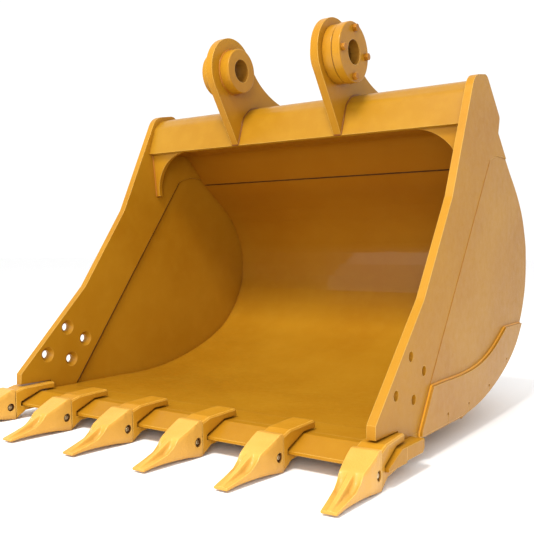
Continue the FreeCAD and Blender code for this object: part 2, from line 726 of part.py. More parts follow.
def build():
    bar = side_bar()
    plate = side_plate()
    gusset = corner_gusset()
    heel = heel_plate()
    nodes = {
        "side_bar_right": bar,
        "side_bar_left": mirrored(bar),
        "side_plate_right": plate,
        "side_plate_left": mirrored(plate),
        "shell_lower": shell_lower(),
        "shell_upper": shell_upper(),
        "beam_plate": beam_plate(),
        "beam_closer": beam_closer(),
        "beam_rib_right": beam_rib((HINGE_IN + HINGE_OUT) / 2.0),
        "beam_rib_left": beam_rib(-(HINGE_IN + HINGE_OUT) / 2.0),
        "corner_gusset_right": gusset,
        "corner_gusset_left": mirrored(gusset),
        "hinge_plate_right": hinge_plate(1),
        "hinge_plate_left": hinge_plate(-1),
        "stick_boss_right": stick_boss_right(),
        "stick_boss_left": stick_boss_left(),
        "link_boss_right": link_boss(1),
        "link_boss_left": link_boss(-1),
        "adjuster_shim": adjuster_shim(),
        "adjuster_flange": adjuster_flange(),
        "adjuster_washers": adjuster_washers(),
        "adjuster_bolts": adjuster_bolts(),
        "cutting_edge": cutting_edge(),
        "base_edge": base_edge(),
        "heel_plate_right": heel,
        "heel_plate_left": mirrored(heel),
    }
    for k, face in enumerate(STRIP_FACES):
        nodes["wear_strip_%d" % (k + 1)] = wear_strip(face)
    pieces = {"adapter": adapter(), "tip": tip(), "lock_pin": lock_pin(), "lock_ring": lock_ring()}
    for k in range(TEETH):
        for name, shape in pieces.items():
            nodes["%s_%d" % (name, k + 1)] = on_tooth(shape, k)
    for name in ("adapter_1", "adapter_%d" % TEETH):
        nodes[name] = nodes[name].cut(nodes["cutting_edge"])
    return nodes


os.makedirs("parts", exist_ok=True)
for node_name, node_shape in build().items():
    node_shape.exportStep("parts/%s.step" % node_name)
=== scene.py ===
import json
import math

import bmesh
import bpy
from mathutils import Matrix, Vector
from mathutils.bvhtree import BVHTree


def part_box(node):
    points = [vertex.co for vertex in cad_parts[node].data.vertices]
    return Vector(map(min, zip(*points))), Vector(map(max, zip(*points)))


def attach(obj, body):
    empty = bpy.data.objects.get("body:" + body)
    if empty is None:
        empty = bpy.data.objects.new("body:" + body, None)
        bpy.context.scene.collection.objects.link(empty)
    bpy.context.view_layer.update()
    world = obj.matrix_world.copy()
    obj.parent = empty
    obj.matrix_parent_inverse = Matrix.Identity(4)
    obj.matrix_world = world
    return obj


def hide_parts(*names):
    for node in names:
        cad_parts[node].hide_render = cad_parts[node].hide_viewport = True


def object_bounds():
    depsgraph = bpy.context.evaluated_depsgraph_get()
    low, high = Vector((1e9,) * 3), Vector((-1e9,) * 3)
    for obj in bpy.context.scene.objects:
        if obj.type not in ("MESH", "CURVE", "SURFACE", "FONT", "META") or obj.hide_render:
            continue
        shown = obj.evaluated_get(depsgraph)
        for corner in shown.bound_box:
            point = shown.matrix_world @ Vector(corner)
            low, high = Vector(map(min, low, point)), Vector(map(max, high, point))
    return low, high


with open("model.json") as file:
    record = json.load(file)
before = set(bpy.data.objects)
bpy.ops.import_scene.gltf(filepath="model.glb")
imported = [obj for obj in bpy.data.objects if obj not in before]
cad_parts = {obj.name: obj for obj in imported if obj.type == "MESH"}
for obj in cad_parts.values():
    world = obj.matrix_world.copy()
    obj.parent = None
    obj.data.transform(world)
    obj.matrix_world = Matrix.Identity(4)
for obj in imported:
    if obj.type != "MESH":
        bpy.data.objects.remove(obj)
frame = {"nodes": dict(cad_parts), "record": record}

# The excavator bucket's looks. The frame is in metres: X runs across the bucket (+X is its right side), the
# teeth point to -Y and Z is up. The origin is on the stick pin's axis at mid width.

cad_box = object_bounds()
nodes = frame["nodes"]
MM = 0.001
TEETH = range(1, 7)
SIDES = (("right", 1.0), ("left", -1.0))

# ---------------------------------------------------------------- shader graph


def new_material(name):
    mat = bpy.data.materials.new(name)
    mat.use_nodes = True
    mat.node_tree.nodes.clear()
    return mat


class Graph:
    """Short names for adding and joining shader nodes."""

    def __init__(self, mat):
        self.tree = mat.node_tree
        self.out = self.add("ShaderNodeOutputMaterial")

    def add(self, kind, **values):
        node = self.tree.nodes.new(kind)
        for key, value in values.items():
            if hasattr(node, key) and key not in node.inputs:
                setattr(node, key, value)
            else:
                node.inputs[key].default_value = value
        return node

    def join(self, source, target):
        self.tree.links.new(source, target)

    def noise(self, place, scale, detail=4.0, roughness=0.5):
        node = self.add("ShaderNodeTexNoise", Scale=scale, Detail=detail, Roughness=roughness)
        self.join(place, node.inputs["Vector"])
        return node.outputs["Fac"]

    def span(self, value, low, high, to_low, to_high):
        """Value rescaled from low..high to to_low..to_high, and held at the ends."""
        node = self.add("ShaderNodeMapRange")
        node.inputs["From Min"].default_value = low
        node.inputs["From Max"].default_value = high
        node.inputs["To Min"].default_value = to_low
        node.inputs["To Max"].default_value = to_high
        self.join(value, node.inputs["Value"])
        return node.outputs["Result"]

    def mix(self, factor, a, b):
        """Colour between a and b, each a colour or a socket."""
        node = self.add("ShaderNodeMix", data_type="RGBA")
        self.join(factor, node.inputs["Factor"])
        for value, index in ((a, 6), (b, 7)):
            if isinstance(value, tuple):
                node.inputs[index].default_value = value + (1.0,)
            else:
                self.join(value, node.inputs[index])
        return node.outputs[2]

    def maths(self, operation, a, b):
        node = self.add("ShaderNodeMath", operation=operation)
        for value, index in ((a, 0), (b, 1)):
            if isinstance(value, (int, float)):
                node.inputs[index].default_value = value
            else:
                self.join(value, node.inputs[index])
        return node.outputs[0]

    def bevel(self, radius, samples):
        node = self.add("ShaderNodeBevel", samples=samples)
        node.inputs["Radius"].default_value = radius
        return node.outputs["Normal"]


# ---------------------------------------------------------------- paints and metals

# each set of tones is the usual colour, the deep colour it drifts to and the pale colour of its clouds
PLATE_TONES = ((0.380, 0.178, 0.0085), (0.335, 0.144, 0.005), (0.425, 0.213, 0.016))
# the beam's tones are the plate tones darkened, as painted shade on the beam
BEAM_SHADED_TONES = ((0.34, 0.167, 0.009), (0.30, 0.137, 0.005), (0.40, 0.21, 0.018))
CAST_TONES = ((0.60, 0.325, 0.060), (0.52, 0.262, 0.038), (0.67, 0.390, 0.090))
ADAPTER_TONES = ((0.47, 0.225, 0.014), (0.415, 0.18, 0.008), (0.56, 0.29, 0.03))
# the bushings' dark tones are partly their own colour and partly painted shade inside the bores
BUSHING_AND_SHADE_TONES = ((0.24, 0.105, 0.012), (0.18, 0.07, 0.006), (0.30, 0.15, 0.02))
BORDER_TONES = ((0.62, 0.27, 0.012), (0.55, 0.22, 0.008), (0.70, 0.34, 0.02))
WELD_TONES = ((0.33, 0.115, 0.006), (0.28, 0.09, 0.004), (0.40, 0.17, 0.01))
# near-black weld paint: painted shade along the hinge plates' welds
SEAM_SHADE_TONES = ((0.17, 0.052, 0.003), (0.13, 0.04, 0.003), (0.22, 0.08, 0.005))
BOLT_TONES = ((0.34, 0.135, 0.006), (0.28, 0.10, 0.004), (0.40, 0.18, 0.012))
# near-black paint for painted shadow in slits, flush joints and pin holes
SHADOW_TONES = ((0.035, 0.012, 0.002), (0.025, 0.008, 0.002), (0.06, 0.02, 0.003))
# painted shade: the colour that corners near other surfaces are darkened towards
CORNER_SHADE = (0.19, 0.055, 0.003)
# painted highlight: the pale colour laid along outer edges
HIGHLIGHT_TONE = (0.92, 0.60, 0.16)
BOWL_SHADE = (0.22, 0.060, 0.002)
BOWL_FOOT, BOWL_TOP = -1.15, -0.50      # heights between which painted shade under the beam deepens the bowl's colour
CORNER_SHADE_REACH = 0.035                     # how near another surface has to be for the painted corner shade


def drifting_tone(g, place, tones, bowl):
    """Paint colour that drifts slowly between its tones, with fine dark specks,
    and painted shade deepening it higher up the bowl when bowl is above 0.
    """
    base, deep, pale = tones
    drift = g.span(g.noise(place, 2.3, 3.0), 0.3, 0.7, 0.0, 1.0)
    tone = g.mix(drift, base, deep)
    cloud = g.span(g.noise(place, 14.0, 5.0, 0.6), 0.45, 0.80, 0.0, 0.30)
    tone = g.mix(cloud, tone, pale)
    speck = g.span(g.noise(place, 420.0, 2.0), 0.66, 0.78, 0.0, 0.35)
    tone = g.mix(speck, tone, deep)
    # painted shade under the beam: the colour deepens higher up the bowl
    if bowl:
        height = g.add("ShaderNodeSeparateXYZ")
        g.join(place, height.inputs[0])
        rise = g.span(height.outputs["Z"], BOWL_FOOT, BOWL_TOP, 0.0, bowl)
        tone = g.mix(rise, tone, BOWL_SHADE)
    return tone


def shaded_and_highlighted(g, tone, soft_normal, edge_highlight):
    """Tone with painted shade in the inner corners and a painted highlight along the outer edges."""
    near = g.add("ShaderNodeAmbientOcclusion", samples=4)
    near.inputs["Distance"].default_value = CORNER_SHADE_REACH
    openness = near.outputs["AO"]
    # painted shade, darker where other surfaces are near
    tone = g.mix(g.span(openness, 0.30, 0.85, 0.50, 0.0), tone, CORNER_SHADE)
    facing = g.add("ShaderNodeVectorMath", operation="DOT_PRODUCT")
    g.join(soft_normal, facing.inputs[0])
    g.join(g.add("ShaderNodeNewGeometry").outputs["Normal"], facing.inputs[1])
    # painted highlight along the outer edges, kept out of the corners
    highlight = g.span(facing.outputs["Value"], 0.80, 0.99, edge_highlight, 0.0)
    highlight = g.maths("MULTIPLY", highlight, g.span(openness, 0.75, 0.97, 0.0, 1.0))
    return g.mix(highlight, tone, HIGHLIGHT_TONE)


def peel_normal(g, place, soft_normal, peel, cast):
    """Orange peel of sprayed paint, over the pits of a casting if cast is above 0."""
    waves = g.maths("MULTIPLY", g.noise(place, 18.0, 2.0), 2.0)
    height = g.maths("ADD", g.noise(place, 300.0, 2.0), waves)
    if cast:
        pits = g.maths("MULTIPLY", g.noise(place, 120.0, 5.0, 0.6), 3.0 * cast)
        height = g.maths("ADD", height, pits)
    bump = g.add("ShaderNodeBump", Strength=peel, Distance=0.004)
    g.join(height, bump.inputs["Height"])
    g.join(soft_normal, bump.inputs["Normal"])
    return bump.outputs["Normal"]


def paint(name, tones=PLATE_TONES, rough=0.36, peel=0.10, cast=0.0, edge=2.0, edge_highlight=0.55,
          coat=0.10, coat_rough=0.14, bowl=0.0):
    """Machine paint over steel.

    edge is the radius in mm that edges are eased to; the argument after it sets how pale a highlight is
    painted along them.
    cast is the depth of a casting's pits, coat is the gloss over the paint, and bowl is how much painted
    shade deepens the colour with height, for the shade under the beam."""
    mat = new_material(name)
    g = Graph(mat)
    place = g.add("ShaderNodeTexCoord").outputs["Object"]
    soft_normal = g.bevel(edge * MM, samples=6)
    shader = g.add("ShaderNodeBsdfPrincipled")
    tone = shaded_and_highlighted(g, drifting_tone(g, place, tones, bowl), soft_normal, edge_highlight)
    g.join(tone, shader.inputs["Base Color"])
    streak = g.span(g.noise(place, 35.0, 6.0, 0.65), 0.3, 0.7, rough - 0.05, rough + 0.08)
    g.join(streak, shader.inputs["Roughness"])
    shader.inputs["Specular IOR Level"].default_value = 0.17
    shader.inputs["Coat Weight"].default_value = coat
    shader.inputs["Coat Roughness"].default_value = coat_rough
    g.join(peel_normal(g, place, soft_normal, peel, cast), shader.inputs["Normal"])
    g.join(shader.outputs["BSDF"], g.out.inputs["Surface"])
    return mat


def steel(name, colour, rough):
    """Bare steel with fine machining lines and a little tarnish at half its brightness."""
    mat = new_material(name)
    g = Graph(mat)
    place = g.add("ShaderNodeTexCoord").outputs["Object"]
    shader = g.add("ShaderNodeBsdfPrincipled", Metallic=1.0)
    tarnish = g.span(g.noise(place, 60.0, 5.0), 0.35, 0.7, 0.0, 1.0)
    dull = tuple(c * 0.5 for c in colour)
    g.join(g.mix(tarnish, colour, dull), shader.inputs["Base Color"])
    wear = g.span(g.noise(place, 200.0, 3.0), 0.3, 0.7, rough - 0.08, rough + 0.1)
    g.join(wear, shader.inputs["Roughness"])
    bump = g.add("ShaderNodeBump", Strength=0.12, Distance=0.002)
    g.join(g.noise(place, 900.0, 2.0), bump.inputs["Height"])
    g.join(g.bevel(1.0 * MM, samples=4), bump.inputs["Normal"])
    g.join(bump.outputs["Normal"], shader.inputs["Normal"])
    g.join(shader.outputs["BSDF"], g.out.inputs["Surface"])
    return mat


plate_paint = paint("plate_paint", edge=4.0, coat=0.0)
# darker than the plate paint: painted shade on the beam
beam_paint = paint("beam_paint", BEAM_SHADED_TONES, edge=4.0)
# its bowl setting paints shade high in the bowl, under the beam
shell_paint = paint("shell_paint", rough=0.33, edge=1.5, coat=0.30, coat_rough=0.05, peel=0.05, bowl=0.55)
turned_paint = paint("turned_paint", rough=0.34, edge=4.0, peel=0.06)
wear_paint = paint("wear_paint", rough=0.38, edge=5.0)
cast_paint = paint("cast_paint", CAST_TONES, rough=0.36, peel=0.22, cast=0.6, edge=3.0, edge_highlight=0.9)
adapter_paint = paint("adapter_paint", ADAPTER_TONES, rough=0.38, peel=0.16, cast=0.5, edge=6.5, edge_highlight=0.85)
bushing_and_shade_paint = paint("bushing_and_shade_paint", BUSHING_AND_SHADE_TONES, rough=0.3)
border_paint = paint("border_paint", BORDER_TONES, rough=0.36, edge=0.5)
weld_paint = paint("weld_paint", WELD_TONES, rough=0.40, peel=0.16, edge=0.5)
seam_shade_paint = paint("seam_shade_paint", SEAM_SHADE_TONES, rough=0.45, edge=0.5)
bolt_paint = paint("bolt_paint", BOLT_TONES, rough=0.36, edge=1.5)
# near-black paint that stands for shadow
shadow_dark = paint("shadow_dark", SHADOW_TONES, rough=0.7)
pin_steel = steel("pin_steel", (0.74, 0.58, 0.34), 0.32)
ring_steel = steel("ring_steel", (0.035, 0.03, 0.028), 0.6)
shim_steel = steel("shim_steel", (0.10, 0.085, 0.07), 0.5)

SLOT_LOOK = {
    "side_bar_paint": plate_paint,
    "side_plate_paint": plate_paint,
    "shell_paint": shell_paint,
    "beam_paint": beam_paint,
    "gusset_paint": plate_paint,
    "hinge_paint": plate_paint,
    "boss_paint": turned_paint,
    "flange_paint": turned_paint,
    "fastener_paint": bolt_paint,
    "edge_paint": plate_paint,
    "wear_plate_paint": wear_paint,
    "adapter_paint": adapter_paint,
    "tip_paint": cast_paint,
    "pin_steel": pin_steel,
    "ring_steel": ring_steel,
    "shim_steel": shim_steel,
}
for part in frame["record"]["subparts"]:
    for entry in nodes[part["node"]].material_slots:
        entry.material = SLOT_LOOK[part["material_slot"]]

# ---------------------------------------------------------------- mesh helpers


def place_piece(name, data):
    piece = bpy.data.objects.new(name, data)
    bpy.context.scene.collection.objects.link(piece)
    return piece


def mesh_from(bm, name):
    """Finished mesh of a bmesh, with its faces turned outward."""
    bmesh.ops.recalc_face_normals(bm, faces=bm.faces)
    mesh = bpy.data.meshes.new(name)
    bm.to_mesh(mesh)
    bm.free()
    return mesh


def solid(name, bm, mat, smooth=True):
    """Piece that is fixed to the bucket."""
    for face in bm.faces:
        face.smooth = smooth
    mesh = mesh_from(bm, name)
    piece = place_piece(name, mesh)
    mesh.materials.append(mat)
    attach(piece, "bucket")
    return piece


def mm(x, y, z):
    """A place given in millimetres, in metres."""
    return (x * MM, y * MM, z * MM)


def circle(x, radius, y, z, sides):
    """Points of a circle about a line that runs along X."""
    turns = [2.0 * math.pi * i / sides for i in range(sides)]
    return [Vector((x, y + radius * math.cos(t), z + radius * math.sin(t))) for t in turns]


def disc(bm, place, radius, depth, sides):
    """Solid round bar about a line along X, with its middle at a place."""
    turn = Matrix.Translation(place) @ Matrix.Rotation(math.pi / 2, 4, "Y")
    bmesh.ops.create_cone(bm, cap_ends=True, segments=sides, radius1=radius, radius2=radius, depth=depth,
                          matrix=turn)


def bridge(bm, one, two, shift=0):
    """Band of faces between two closed loops with as many vertices each."""
    count = len(one)
    for i in range(count):
        j = (i + 1) % count
        bm.faces.new((one[i], one[j], two[(j + shift) % count], two[(i + shift) % count]))


def hollow_ring(bm, x0, x1, outer, inner, y, z, sides, turn=Matrix.Identity(4)):
    """Tube wall from x0 to x1, about a line along X that turn then moves."""
    corners = ((x0, outer), (x1, outer), (x1, inner), (x0, inner))
    loops = [[bm.verts.new(turn @ p) for p in circle(x, r, y, z, sides)] for x, r in corners]
    for one, two in zip(loops, loops[1:] + loops[:1]):
        bridge(bm, one, two)


# ---------------------------------------------------------------- weld beads

WELD_JOIN = 1e-5            # CAD corners closer than this are one corner
SEAM_REACH = 0.0012         # an edge this near another node lies on it
SEAM_FOLD = 0.5             # least angle, in radians, between the faces of a sharp edge
SHORTEST_BEAD = 0.03
PUDDLE = 0.005              # length of a weld bead's ripples
BEAD_END = 0.6              # a bead's girth at its two ends, as a share


def joined_mesh(node):
    """Copy of a CAD node's mesh with its split corners joined again."""
    bm = bmesh.new()
    bm.from_mesh(nodes[node].data)
    bmesh.ops.remove_doubles(bm, verts=bm.verts, dist=WELD_JOIN)
    return bm


def touches(tree, points):
    """Whether all the points lie on the surface in a search tree."""
    for point in points:
        gap = tree.find_nearest(point)[3]
        if gap is None or gap >= SEAM_REACH:
            return False
    return True


def seam_lines(node, against):
    """Sharp edges of one node that lie on another, chained into lines."""
    trees = []
    for other in against:
        other_bm = joined_mesh(other)
        trees.append(BVHTree.FromBMesh(other_bm))
        other_bm.free()
    bm = joined_mesh(node)
    links = {}
    for edge in bm.edges:
        if len(edge.link_faces) != 2 or edge.calc_face_angle(0.0) < SEAM_FOLD:
            continue
        a, b = edge.verts
        points = (a.co, b.co, (a.co + b.co) / 2.0)
        if any(touches(tree, points) for tree in trees):
            links.setdefault(a.index, set()).add(b.index)
            links.setdefault(b.index, set()).add(a.index)
    place = {v.index: v.co.copy() for v in bm.verts}
    bm.free()
    return [[place[i] for i in chain] for chain in chains(links)]


def chains(links):
    """Runs of linked points: open runs from end to end first, then the closed ones."""
    used = set()
    runs = []
    ends = [k for k in sorted(links) if len(links[k]) != 2] + sorted(links)
    for start in ends:
        for follow in sorted(links[start]):
            if frozenset((start, follow)) in used:
                continue
            used.add(frozenset((start, follow)))
            run = [start, follow]
            while len(links[run[-1]]) == 2:
                here = run[-1]
                ahead = [n for n in sorted(links[here]) if frozenset((here, n)) not in used]
                if not ahead:
                    break
                used.add(frozenset((here, ahead[0])))
                run.append(ahead[0])
            runs.append(run)
    return runs


def length_of(line):
    return sum((b - a).length for a, b in zip(line, line[1:]))


def resample(line, step):
    """Evenly spaced points along a polyline."""
    total = length_of(line)
    count = max(2, int(round(total / step)) + 1)
    points = [line[0].copy()]
    target = total / (count - 1)
    walked = 0.0
    goal = target
    for a, b in zip(line, line[1:]):
        length = (b - a).length
        while length > 0.0 and goal <= walked + length + 1e-9 and len(points) < count - 1:
            points.append(a.lerp(b, (goal - walked) / length))
            goal += target
        walked += length
    points.append(line[-1].copy())
    return points


def add_bead(bm, line, radius, step=PUDDLE, sides=8):
    """Weld bead along a line: a rod whose girth swells at each puddle."""
    points = resample(line, step)
    if len(points) < 3:
        return
    closed = (points[0] - points[-1]).length < 1e-6
    rings = []
    side = Vector((0.3, 0.5, 0.81))     # along none of the seams
    for i, point in enumerate(points):
        before = points[i - 1] if i else (points[-2] if closed else points[0])
        after = points[i + 1] if i + 1 < len(points) else (points[1] if closed else points[-1])
        along = (after - before).normalized()
        side = (side - along * side.dot(along)).normalized()
        other = along.cross(side)
        girth = radius * (0.94 + 0.10 * (i % 2) + 0.05 * math.sin(i * 1.7))
        if not closed and i in (0, len(points) - 1):
            girth *= BEAD_END
        ring = []
        for k in range(sides):
            turn = 2.0 * math.pi * k / sides
            ring.append(bm.verts.new(point + (side * math.cos(turn) + other * math.sin(turn)) * girth))
        rings.append(ring)
    if closed:
        for vert in rings.pop():
            bm.verts.remove(vert)
    for one, two in zip(rings, rings[1:]):
        bridge(bm, one, two)
    if closed:
        last, first = rings[-1], rings[0]
        nearest = min(range(sides), key=lambda s: (last[0].co - first[s].co).length)
        bridge(bm, last, first, nearest)
    else:
        bm.faces.new(rings[0])
        bm.faces.new(list(reversed(rings[-1])))


def weld(name, node, against, radius_mm, look=weld_paint):
    """Beads along every seam between a node and the nodes it is welded to."""
    bm = bmesh.new()
    for line in seam_lines(node, against):
        if length_of(line) > SHORTEST_BEAD:
            add_bead(bm, line, radius_mm * MM)
    return solid(name, bm, look)


weld("weld_beam_back", "beam_closer", ["shell_upper", "shell_lower", "beam_plate"], 4.5)
for side, _ in SIDES:
    hinge = "hinge_plate_" + side
    gusset = "corner_gusset_" + side
    bar = "side_bar_" + side
    plate = "side_plate_" + side
    bosses = ["stick_boss_" + side, "link_boss_" + side]
    foot = ["beam_plate", "shell_upper", "shell_lower"]
    # the hinge welds are painted dark, as painted shade along the hinge plates' foot
    weld("weld_hinge_" + side, hinge, foot, 4.0, seam_shade_paint)
    weld("weld_closer_" + side, hinge, ["beam_closer"], 4.0)
    weld("weld_gusset_" + side, gusset, [bar, "shell_upper"], 4.5)
    weld("weld_heel_" + side, "heel_plate_" + side, [bar, plate], 6.0, border_paint)
    weld("weld_boss_" + side, hinge, bosses, 4.5)

# ---------------------------------------------------------------- pin bores

STICK_PIN = (0.0, 0.0)
LINK_PIN = (0.470, -0.245)
BUSHING_RADIUS = 0.0499     # just inside the bore
BUSHING_WALL = 0.0012
BUSHING_INSET = 0.0015      # how far its ends stand back from the boss's faces


def sleeve(name, node, pin):
    """Thin bushing that lines a pin bore through one boss, in dark paint that is partly its own colour and
    partly painted shade inside the bore.
    """
    low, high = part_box(node)
    start = low.x + BUSHING_INSET
    end = high.x - BUSHING_INSET
    bm = bmesh.new()
    hollow_ring(bm, start, end, BUSHING_RADIUS, BUSHING_RADIUS - BUSHING_WALL, pin[0], pin[1], sides=72)
    made = solid(name, bm, bushing_and_shade_paint)
    made.data.set_sharp_from_angle(angle=math.radians(40.0))


for side, _ in SIDES:
    sleeve("stick_sleeve_" + side, "stick_boss_" + side, STICK_PIN)
    sleeve("link_sleeve_" + side, "link_boss_" + side, LINK_PIN)
sleeve("flange_sleeve", "adjuster_flange", STICK_PIN)

# ---------------------------------------------------------------- painted shadow in the slits and joint lines

# where a front bar meets the side plate behind it, in mm
OUTER_X, INNER_X = 825.0, 797.0
OUTER_FOOT, OUTER_TOP = (-428.0, -1379.5), (262.0, -436.0)      # (y, z) of the joint's ends, outside
INNER_FOOT, INNER_TOP = (-420.0, -1374.0), (259.0, -443.0)      # and inside
LEAN_DEGREES = 1.45             # how far a side plate leans inward from that joint
# where the shell's two plates meet across the back, in mm
SHELL_JOINT = (466.6, -440.4)
SHELL_HALF_WIDTH = 795.0
# dark inserts of painted shadow in the slits of the heel plates, in metres
SLIT_FACE_X = 0.8262            # middle of an insert, before it leans with the side plate
SLIT_DEPTH = 0.002
SLIT_WIDTH = 0.0035
SLIT_END_RADIUS = 0.0058
SLITS = ((-0.183, -1.359, 0.034), (0.033, -1.358, 0.034), (0.270, -1.326, 0.031), (0.503, -1.248, 0.026))


def slit_shadows(side, sign):
    """Dark inserts of painted shadow in the heel plate's slits: a round end at y, z and a straight run down
    from it.
    """
    bm = bmesh.new()
    for y, z, length in SLITS:
        disc(bm, (SLIT_FACE_X, y, z), SLIT_END_RADIUS, SLIT_DEPTH, sides=24)
        size = Matrix.Diagonal((SLIT_DEPTH, SLIT_WIDTH, length, 1.0))
        middle = Matrix.Translation((SLIT_FACE_X, y, z - length / 2.0))
        bmesh.ops.create_cube(bm, size=1.0, matrix=middle @ size)
    top = Vector(mm(OUTER_X, *OUTER_TOP))
    foot = Vector(mm(OUTER_X, *OUTER_FOOT))
    spin = Matrix.Rotation(math.radians(LEAN_DEGREES), 4, top - foot)
    lean = Matrix.Translation(top) @ spin @ Matrix.Translation(-top)
    bmesh.ops.transform(bm, matrix=lean, verts=bm.verts)
    bmesh.ops.scale(bm, vec=(sign, 1.0, 1.0), verts=bm.verts)
    solid("slit_shadow_" + side, bm, shadow_dark, smooth=False)


def joint_shade_line(name, start, end, radius_mm, look=shadow_dark):
    """Thin dark line of painted shade where two plates meet flush, from start to end in mm."""
    bm = bmesh.new()
    add_bead(bm, [Vector(start) * MM, Vector(end) * MM], radius_mm * MM, step=0.02, sides=6)
    solid(name, bm, look)


for side, sign in SIDES:
    slit_shadows(side, sign)
# painted shadow along the joints of the front bars and side plates, inside and out
for side, sign in SIDES:
    joint_shade_line("bar_joint_" + side, (sign * INNER_X, *INNER_FOOT), (sign * INNER_X, *INNER_TOP), 2.6)
    joint_shade_line("outer_joint_" + side, (sign * OUTER_X, *OUTER_FOOT), (sign * OUTER_X, *OUTER_TOP), 1.5,
               bolt_paint)
# painted shadow along the joint of the shell's two plates
joint_shade_line("shell_joint", (-SHELL_HALF_WIDTH, *SHELL_JOINT), (SHELL_HALF_WIDTH, *SHELL_JOINT), 3.0)

# ---------------------------------------------------------------- tooth tips, all in mm

TIP_BACK = -757.0           # rear face of a tip, at its foot
TIP_FRONT = -1016.0
TIP_FOOT = -1478.0
TIP_REAR_HEIGHT = 112.0
REAR_LEAN = 5.0             # how far the rear face leans back over that height
PIN_Y, PIN_Z = -779.5, -1426.0
PIN_HOLE_RADIUS = 16.0
HOLLOWS_BEGIN = -870.0      # the top is a flat pad behind here
HOLLOW_START = (-871.0, -884.0)     # a hollow's rear wall falls between these
HOLLOW_ARCH = 1.5           # how far that wall bows back at the hollow's middle
RIB = 0.20                  # half width of the middle rib, as a share of the tip's half width
RIB_WALL = 0.14             # width of the rib's wall, in the same share
SPOON_MIDDLE = 0.60         # where a hollow is deepest, in the same share
SPOON_REACH = 0.42
ARCH_REACH = 0.40
TOP_EASE = 3.0              # rounding of the upper edges
FOOT_EASE = 3.0             # rounding of the lower edges
TOP_SHARE = 0.98            # the upper surface's height is read this much nearer the middle
UNDER_HOLLOW = 2.5          # how far the middle of the underside is dished
UNDER_START, UNDER_END = (-800.0, -880.0), (-970.0, -1005.0)    # where that dish deepens and runs out
SOCKET = ((-735.0, 38.5, -1366.0, -1467.5), (-873.0, 29.0, -1423.0, -1456.0))     # y, half width, top, low
TIP_COLUMNS = 40
TIP_ROWS = 6

# (y, value) pairs from the rear to the point
HALF_WIDTHS = ((-750.0, 44.5), (-800.0, 44.5), (-835.0, 42.0), (-872.0, 37.0), (-930.0, 32.0),
               (-1017.0, 24.5))
CREST = ((-750.0, -1356.0), (-778.0, -1356.0), (-862.0, -1393.5), (-885.0, -1405.0), (-930.0, -1428.0),
         (-975.0, -1447.0), (-1017.0, -1462.5))
RIM = ((-862.0, -1393.5), (-876.0, -1401.5), (-893.0, -1418.0), (-916.0, -1434.0), (-972.0, -1452.0),
       (-1017.0, -1464.0))
SPOON = ((-870.0, 0.0), (-878.0, 8.0), (-886.0, 12.0), (-912.0, 12.5), (-945.0, 7.0), (-980.0, 2.0),
         (-1017.0, 0.0))
UNDER = ((-757.0, -1477.5), (-830.0, -1468.0), (-880.0, -1466.5), (-930.0, -1466.0), (-975.0, -1468.0),
         (-1014.0, -1473.0), (-1017.0, -1471.5))


def table(points, y):
    """Value at y, from (y, value) pairs with falling y joined by straight lines."""
    for (y0, v0), (y1, v1) in zip(points, points[1:]):
        if y >= y1:
            t = min(1.0, max(0.0, (y0 - y) / (y0 - y1)))
            return v0 + (v1 - v0) * t
    return points[-1][1]


def eased(a, b, x):
    """0 at a and before, 1 at b and after, with a soft start and end between."""
    t = min(1.0, max(0.0, (x - a) / (b - a)))
    return t * t * (3.0 - 2.0 * t)


def tip_top(x, y):
    """Height of the tip's upper surface: flat pad, then a middle rib with a spoon hollow each side."""
    crest = table(CREST, y)
    if y > HOLLOWS_BEGIN:
        return crest
    rim = table(RIM, y)
    across = abs(x) / table(HALF_WIDTHS, y)
    from_middle = abs(across - SPOON_MIDDLE)
    start = eased(*HOLLOW_START, y - HOLLOW_ARCH * max(0.0, 1.0 - from_middle / ARCH_REACH))
    wall = eased(RIB, RIB + RIB_WALL, across)
    spoon = table(SPOON, y) * max(0.0, 1.0 - (from_middle / SPOON_REACH) ** 2)
    return crest + (rim - crest) * wall * start - spoon * wall


def tip_section(y):
    """Closed loop of (x, z) points round the tip at one station, seen from the front."""
    half = table(HALF_WIDTHS, y)
    low = table(UNDER, y)
    points = []
    for i in range(TIP_COLUMNS + 1):
        x = half * (-1.0 + 2.0 * i / TIP_COLUMNS)
        past = max(0.0, (abs(x) - half + TOP_EASE) / TOP_EASE)
        drop = TOP_EASE * (1.0 - math.sqrt(max(0.0, 1.0 - past ** 2)))
        z = tip_top(x * TOP_SHARE, y) - drop
        points.append((x, max(z, low + 1.0)))
    left = points[0][1]
    right = points[-1][1]
    for i in range(1, TIP_ROWS + 1):
        points.append((half, right + (low + FOOT_EASE - right) * (i / TIP_ROWS)))
    for i in range(TIP_COLUMNS + 1):
        x = half * (1.0 - 2.0 * i / TIP_COLUMNS)
        along = eased(*UNDER_START, y) * (1.0 - eased(*UNDER_END, y))
        hollow = UNDER_HOLLOW * (1.0 - (x / half) ** 2) * along
        rise = FOOT_EASE * max(0.0, (abs(x) - half + FOOT_EASE) / FOOT_EASE) ** 2
        points.append((x, low + rise + hollow))
    for i in range(1, TIP_ROWS):
        points.append((-half, low + FOOT_EASE + (left - low - FOOT_EASE) * (i / TIP_ROWS)))
    return points


def tip_stations():
    """Places of the tip's sections, closer together where the hollows begin."""
    stations = [TIP_BACK]
    while stations[-1] > TIP_FRONT + 0.5:
        step = 2.0 if -945.0 < stations[-1] < -845.0 else 5.0
        stations.append(max(TIP_FRONT, stations[-1] - step))
    return stations


def loft(bm, sections):
    """Closed form through sections, each a loop of points."""
    rings = [[bm.verts.new(point) for point in section] for section in sections]
    for one, two in zip(rings, rings[1:]):
        bridge(bm, one, two)
    bm.faces.new(list(reversed(rings[0])))
    bm.faces.new(rings[-1])
    return rings


